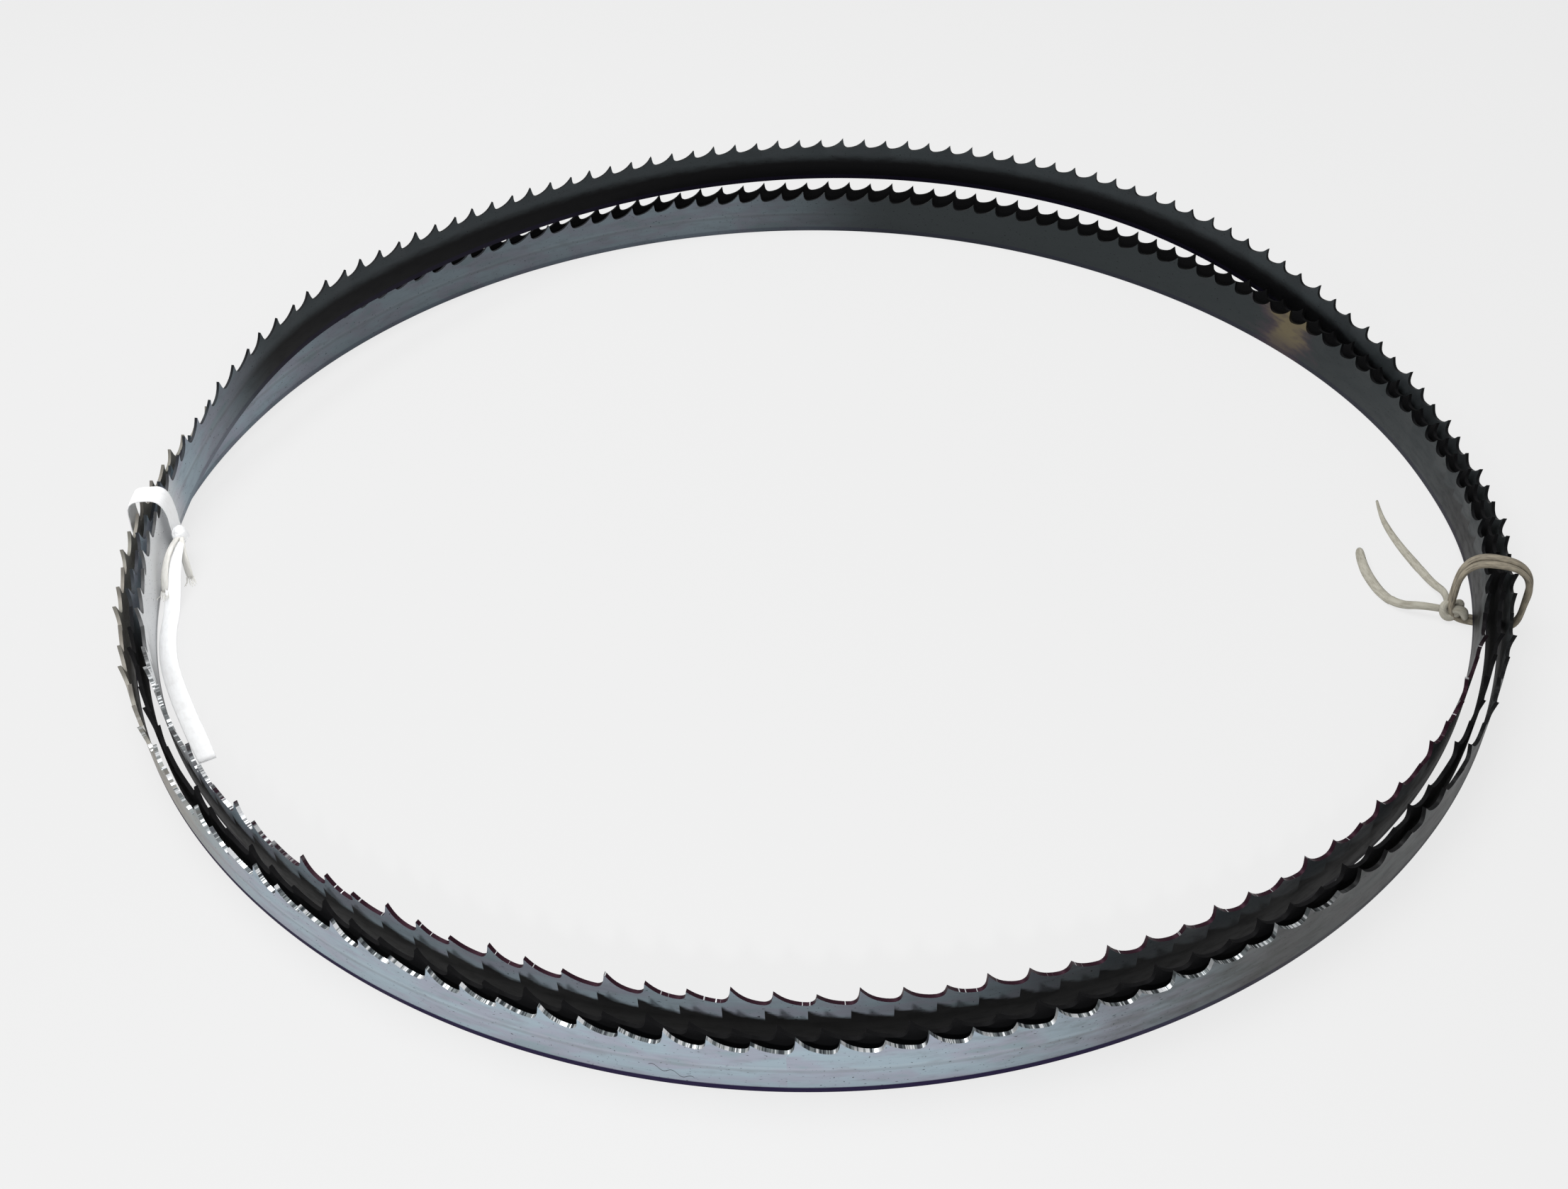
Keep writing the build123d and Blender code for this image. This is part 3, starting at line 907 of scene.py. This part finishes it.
@dataclass(frozen=True)
class SteelFinish:
    """Band steel: bluish where it is clean, darker worn patches, ground gullets, a tempered weld, and runs
    of painted shade, painted shadow, painted light, painted reflection and painted glints.

    Angles are turn angles of the coil, heights and lengths are in metres.
    """

    coil: Coil
    noises: tuple = (
        ("grain", (0.04, 9000.0, 4.0, 0.7)),
        ("streaks", (0.04, 1500.0, 3.0, 0.6)),
        ("tint", (0.3, 170.0, 3.0, 0.5)),
        ("patches", (0.3, 420.0, 4.0, 0.6)),
        ("cuts", (0.3, 2600.0, 2.0, 0.5)),
        ("specks", (1.0, 1300.0, 2.0, 0.5)),
        # glint_spread places the painted rim highlights and painted glints.
        ("glint_spread", (1.0, 900.0, 3.0, 0.7)),
    )
    blue: tuple = (0.29, 0.36, 0.41)
    lilac: tuple = (0.29, 0.31, 0.37)
    teal: tuple = (0.22, 0.30, 0.325)
    dull: tuple = (0.20, 0.22, 0.235)
    # Painted glint: near-white spots on the tooth rims.
    glint: tuple = (0.90, 0.92, 0.94)
    straw: tuple = (0.15, 0.125, 0.068)
    purple: tuple = (0.06, 0.042, 0.052)
    # Painted light: the pale run lights up the innermost strand's inner face under the tape; the pale
    # colour also lightens the pale line along the band.
    pale: ColourRun = ColourRun((0.70, 0.71, 0.72), 0.02, ((547, 578, 0.95),))
    brown: ColourRun = ColourRun((0.21, 0.185, 0.14), 0.05, ((1236, 1300, 0.8),))
    # Painted shade: greenish dark run on the front turn's outer face towards the near right, where less
    # light falls.
    olive_painted_shade: ColourRun = ColourRun((0.052, 0.051, 0.046), 0.085, ((301, 352, 0.9),))
    # Painted shade: dark runs over faces that lie in shade behind and between the strands.
    shade: ColourRun = ColourRun(
        (0.030, 0.035, 0.037),
        0.08,
        ((345, 520, 0.97), (652, 686, 0.93), (690, 800, 1.0), (712, 752, 0.6), (790, 868, 0.6)),
    )
    # The black runs are painted shade that blacks out the middle strand; the black colour also serves the
    # painted shadow below, the painted shade on the tooth edges, the nicks and the scratch.
    black: ColourRun = ColourRun((0.004, 0.004, 0.0045), 0.03, ((925, 1234, 1.0),))
    # Painted reflection: dark maroon on the ground tooth rims of the innermost near strand, with painted
    # glints on it.
    ground_rim_reflection: ColourRun = ColourRun((0.022, 0.007, 0.013), 0.04, ((588, 686, 1.0),))
    # Painted highlight: silver runs on the tooth rims of the front turn and of the innermost strand at the
    # near left.
    painted_rim_highlight: ColourRun = ColourRun((0.16, 0.18, 0.185), 0.03, ((1302, 1352, 1.0), (268, 298, 0.9), (574, 588, 0.6)))
    back: ColourRun = ColourRun((0.012, 0.007, 0.035), 0.1, ((1250, 1352, 1.0), (268, 286, 1.0)))
    # Painted shadow, black below a border: start and end, upper and lower height of the border, its
    # scallop after the teeth that cast it
    painted_shadow_below: tuple = ((330, 520, 0.0105, 0.0065, 0.0), (572, 712, 0.0088, 0.0076, 0.0026))
    painted_shadow_below_fade: float = 0.04
    border_wander: float = 0.003
    end_wander: float = 0.04
    # Lines along the band: height, half width, softness
    line: Three = (0.0069, 0.00018, 0.0005)
    pale_line: Three = (0.0078, 0.0001, 0.0005)
    # Where the tooth edge begins, and where the back's dark line ends
    edge: Two = (0.0162, 0.0164)
    foot: Two = (0.0019, 0.0015)
    foot_least: float = 0.3
    # The weld's tints: half width and softness
    weld_angle: float = 748.5
    purple_width: Two = (0.0075, 0.007)
    straw_width: Two = (0.0035, 0.007)
    straw_shift: float = 0.001
    # The hair scratch: its ends; height and fall; sway and its pace; half width and softness
    hair_angles: Two = (1342.2, 1344.8)
    hair_course: Two = (0.0056, 0.0030)
    hair_sway: Two = (0.0006, 15.0)
    hair_width: Two = (0.00008, 0.00006)

    def maps(self, g: Graph) -> BandMaps:
        """Adds the places and the noises, from the band's UV map."""
        uv = g.node("ShaderNodeUVMap", {"uv_map": "UVMap"}, {})
        along, height = (g.node("ShaderNodeSeparateXYZ", {}, {0: uv}, output=axis) for axis in (0, 1))
        return BandMaps(along, height, **{name: g.noise(uv, recipe) for name, recipe in self.noises})

    def hair_scratch(self, m: BandMaps) -> Sock:
        """Fine wavy scratch: its height falls evenly along it and sways like a sine."""
        first, last = (self.coil.metres_at(angle) for angle in self.hair_angles)
        share = (m.along - first) * (1.0 / (last - first))
        top, fall = self.hair_course
        sway, pace = self.hair_sway
        off = m.height - (share * -fall + top + (share * pace).sine() * sway)
        return off.near(0.0, *self.hair_width) * share.near(0.5, 0.48, 0.02)

    def clean(self, g: Graph, m: BandMaps) -> Sock:
        """Colour of the clean steel with its lines along the band."""
        darker = m.patches.band(0.5, 0.72) * 0.35 + m.streaks.band(0.5, 0.75) * 0.2
        layers = (
            (m.tint.band(0.42, 0.58), self.lilac),
            (m.tint.band(0.56, 0.68) * 0.7, self.teal),
            (darker, self.dull),
            (m.height.near(*self.line) * 0.4, self.dull),
            (m.height.near(*self.pale_line) * 0.05, self.pale.colour),
        )
        return g.layered(self.blue, layers)

    def painted_light_and_marks(self, g: Graph, m: BandMaps, colour: Sock) -> Sock:
        """Colour with the colour runs, painted light and shade among them, the painted shadow below the
        border, the nicks and the scratch over it.
        """
        wander = m.along + (m.patches - 0.5) * self.end_wander
        colour_runs = ((self.pale, m.along), (self.brown, wander), (self.olive_painted_shade, wander), (self.shade, m.along))
        for colour_run, place in colour_runs:
            colour = g.layered(colour, colour_run.layers(self.coil, place))
        black = self.black.colour
        # Falls from 1 to 0 over each tooth, which scallops the painted shadow's border like the teeth that
        # cast it
        cell = 1 - (m.along * (Blade.teeth / (self.coil.length * MM))).fraction()
        rough = m.height + (m.patches - 0.5) * self.border_wander
        # Painted shadow of the teeth in front, black below a scalloped border
        for start, end, high, low, scallop in self.painted_shadow_below:
            run = ColourRun(black, self.painted_shadow_below_fade, ((start, end, 1.0),))
            below = (rough - cell * cell * scallop).band(high, low)
            colour = g.mix(run.mask(self.coil, m.along) * below, colour, black)
        return g.layered(colour, ((m.nicks() * 0.85, black), (self.hair_scratch(m) * 0.8, black)))

    def welded(self, g: Graph, m: BandMaps, colour: Sock) -> Sock:
        """Colour with the weld's tempered tint over it."""
        middle = self.coil.metres_at(self.weld_angle)
        place = m.along + (m.tint - 0.5) * 0.03 + (m.patches - 0.5) * 0.01
        upper = m.height.band(0.001, 0.009) * 0.7 + 0.3
        straw = place.near(middle - self.straw_shift, *self.straw_width) * upper
        purple = place.near(middle, *self.purple_width)
        return g.layered(colour, ((purple * 0.65, self.purple), (straw * 0.75, self.straw)))

    def edged(self, g: Graph, m: BandMaps, colour: Sock) -> tuple[Sock, Sock]:
        """Colour with the tooth edge over it in painted shade, painted reflection, painted highlight and
        painted glints, and the share of painted glints.
        """
        edge = m.height.band(*self.edge)
        # The brown run keeps its tooth edge out of the painted shade.
        unshaded_edge = self.brown.mask(self.coil, m.along)
        ground_rim_reflection = edge * self.ground_rim_reflection.mask(self.coil, m.along)
        rim_highlight_share = edge * self.painted_rim_highlight.mask(self.coil, m.along)
        sparkle = (rim_highlight_share * m.glint_spread.band(0.50, 0.56)).larger(ground_rim_reflection * m.specks.band(0.62, 0.66))
        # Painted shade blackens the tooth edges; the painted reflection, painted highlight and painted
        # glints go over it.
        layers = (
            (edge * (1 - unshaded_edge) * 0.9, self.black.colour),
            (ground_rim_reflection, self.ground_rim_reflection.colour),
            (rim_highlight_share * m.glint_spread.band(0.40, 0.50), self.painted_rim_highlight.colour),
            (sparkle, self.glint),
        )
        return g.layered(colour, layers), sparkle

    def material(self) -> Material:
        """Builds the finish."""
        g = Graph(bpy.data.materials.new("band_steel"))
        m = self.maps(g)
        colour = self.welded(g, m, self.painted_light_and_marks(g, m, self.clean(g, m)))
        # Painted shade: the black runs over the middle strand.
        black = self.black.mask(self.coil, m.along)
        colour, sparkle = self.edged(g, m, g.mix(black, colour, self.black.colour))
        foot = m.height.band(*self.foot) * self.back.mask(self.coil, m.along).larger(self.foot_least)
        colour = g.mix(foot, colour, self.back.colour)
        dark = black.larger(foot)
        roughness = 0.46 + (m.grain - 0.5) * 0.2 + m.patches.band(0.4, 0.7) * 0.1
        metallic = (0.4 + sparkle * 0.4) * (1 - dark)
        relief = {"Strength": 0.12, "Distance": 0.00006, "Height": m.grain + m.nicks() * -1.5}
        return g.principled(
            Base_Color=colour,
            Metallic=metallic,
            Roughness=roughness - sparkle * 0.2 + dark * 0.3,
            Specular_IOR_Level=0.1,
            Normal=g.node("ShaderNodeBump", {}, relief),
        )


@dataclass(frozen=True)
class FibreFinish:
    """Soft fibrous string or tape: one plain colour with fine streaks along it."""

    name: str
    pale: tuple
    deep: tuple
    streak: float
    bump: float
    streak_noise: tuple = (0.12, 2600.0, 4.0, 0.65)
    blotch_noise: tuple = (1.0, 260.0, 3.0, 0.5)

    def material(self) -> Material:
        """Builds the finish on the pieces' UV map, in metres along and round them."""
        g = Graph(bpy.data.materials.new(self.name))
        uv = g.node("ShaderNodeUVMap", {"uv_map": "UVMap"}, {})
        streaks, blotches = g.noise(uv, self.streak_noise), g.noise(uv, self.blotch_noise)
        share = streaks.band(0.42, 0.68) * self.streak + blotches.band(0.45, 0.7) * 0.35
        relief = {"Strength": self.bump, "Distance": 0.00025, "Height": streaks + blotches * 0.4}
        bump = g.node("ShaderNodeBump", {}, relief)
        return g.principled(Base_Color=g.mix(share, self.pale, self.deep), Roughness=0.82, Normal=bump)


STRING_FINISH = FibreFinish("string_fibre", (0.37, 0.355, 0.30), (0.18, 0.165, 0.125), 0.5, 0.5)
# Darker all over than the finishes beside them: for the string's passes and the tape's short ends.
DARK_STRING_FINISH = FibreFinish("string_dark", (0.25, 0.22, 0.165), (0.07, 0.06, 0.045), 0.75, 0.5)
TAPE_FINISH = FibreFinish("tape_fibre", (0.95, 0.96, 0.97), (0.82, 0.82, 0.82), 0.45, 0.3)
DARK_TAPE_FINISH = FibreFinish("tape_dark", (0.80, 0.79, 0.75), (0.58, 0.57, 0.53), 0.6, 0.4)


@dataclass(frozen=True)
class Lamp:
    """Square area lamp turned to the origin, in metres and watts."""

    name: str
    place: Three
    size: float
    watts: float

    def build(self) -> None:
        """Adds the lamp."""
        data = bpy.data.lights.new(self.name, "AREA")
        data.size = self.size
        data.energy = self.watts
        lamp = bpy.data.objects.new(self.name, data)
        lamp.location = self.place
        lamp.rotation_euler = (-Vector(self.place)).to_track_quat("-Z", "Y").to_euler()
        bpy.context.scene.collection.objects.link(lamp)


@dataclass(frozen=True)
class Studio:
    """Floor, lamps and camera. Angles are in degrees, the eye in millimetres, the floor in metres."""

    focal_px: float = 2097.7
    image_px: float = 2212.0
    eye: Three = (10.2, -366.0, 255.9)
    yaw: float = -2.66
    pitch: float = 38.47
    roll: float = -1.90
    near_clip: float = 0.005
    lamps: tuple[Lamp, ...] = (
        Lamp("key", (-0.020, -0.455, 0.185), 0.03, 0.62),
        Lamp("soft_top", (-0.3, 0.1, 0.9), 0.8, 10.0),
    )
    world_grey: float = 0.34
    world_plain: float = 0.79
    floor_half: float = 4.0
    floor_colour: tuple = (0.842, 0.842, 0.842)
    floor_plain: float = 0.9
    in_metal: float = 0.4

    def camera(self) -> None:
        """Places the camera at the photograph's viewpoint.

        The forward direction is turned by yaw from +Y, tipped down by pitch, and the picture's
        right and up are turned by roll about it.
        """
        yaw, pitch, roll = (math.radians(v) for v in (self.yaw, self.pitch, self.roll))
        level = np.array([math.sin(yaw), math.cos(yaw), 0.0])
        right = np.array([math.cos(yaw), -math.sin(yaw), 0.0])
        forward = level * math.cos(pitch) - UP * math.sin(pitch)
        up = np.cross(right, forward)
        picture_right = right * math.cos(roll) + up * math.sin(roll)
        picture_up = -right * math.sin(roll) + up * math.cos(roll)
        data = bpy.data.cameras.new("camera")
        data.sensor_fit = "HORIZONTAL"
        data.angle = 2 * math.atan(self.image_px / 2 / self.focal_px)
        data.clip_start = self.near_clip
        camera = bpy.data.objects.new("camera", data)
        turn = Matrix(np.stack([picture_right, picture_up, -forward], 1).tolist()).to_4x4()
        camera.matrix_world = Matrix.Translation(Vector(self.eye) * MM) @ turn
        bpy.context.scene.collection.objects.link(camera)
        bpy.context.scene.camera = camera

    def plain_share(self, g: Graph, seen: float) -> Sock:
        """How much a surface shows its plain look: as seen to the camera, less of it in the steel."""
        path = g.tree.nodes.new("ShaderNodeLightPath")
        rays = ("Is Camera Ray", "Is Transmission Ray", "Is Glossy Ray")
        camera, through, glossy = (Sock(g, path.outputs[ray]) for ray in rays)
        return (camera.larger(through) * seen).larger(glossy * self.in_metal)

    def floor(self) -> None:
        """Pale floor: shows its own plain colour to the camera and in the steel, and keeps the shadows."""
        half = self.floor_half
        points = np.array([(-half, -half, 0), (half, -half, 0), (half, half, 0), (-half, half, 0)])
        piece = build_mesh("floor", points, np.array([[0, 1, 2, 3]]))
        g = Graph(bpy.data.materials.new("floor"))
        lit = g.node("ShaderNodeBsdfDiffuse", {}, {"Color": self.floor_colour})
        plain = g.node("ShaderNodeEmission", {}, {"Color": self.floor_colour, "Strength": 1.0})
        share = self.plain_share(g, self.floor_plain)
        g.show(g.node("ShaderNodeMixShader", {}, {0: share, 1: lit, 2: plain}))
        piece.data.materials.append(g.owner)

    def world(self) -> None:
        """Grey light all round, pale where the camera or the steel sees past the floor."""
        g = Graph(bpy.data.worlds.new("world"), "ShaderNodeOutputWorld")
        ends = {"To Min": self.world_grey, "To Max": self.world_plain}
        strength = g.node("ShaderNodeMapRange", {}, {"Value": self.plain_share(g, 1.0), **ends})
        g.show(g.node("ShaderNodeBackground", {}, {"Color": (1.0, 1.0, 1.0), "Strength": strength}))
        bpy.context.scene.world = g.owner

    def build(self) -> None:
        """Sets up the whole studio."""
        bpy.context.scene.view_settings.view_transform = "Standard"
        self.camera()
        self.floor()
        self.world()
        for lamp in self.lamps:
            lamp.build()


def main() -> None:
    """Builds the blade, its ties and the studio."""
    Studio().build()
    coil = Coil()
    string = STRING_FINISH.material()
    tape = TAPE_FINISH.material()
    string_tie = StringTie(coil)
    string_tie.tails(string)
    tape_tie = TapeTie(coil)
    tape_tie.tail(tape)
    string_tie.build(string, DARK_STRING_FINISH.material())
    tape_tie.build(tape, DARK_TAPE_FINISH.material())
    band = Blade(coil).build()
    band.data.materials.append(SteelFinish(coil).material())


if __name__ == "__main__":
    main()
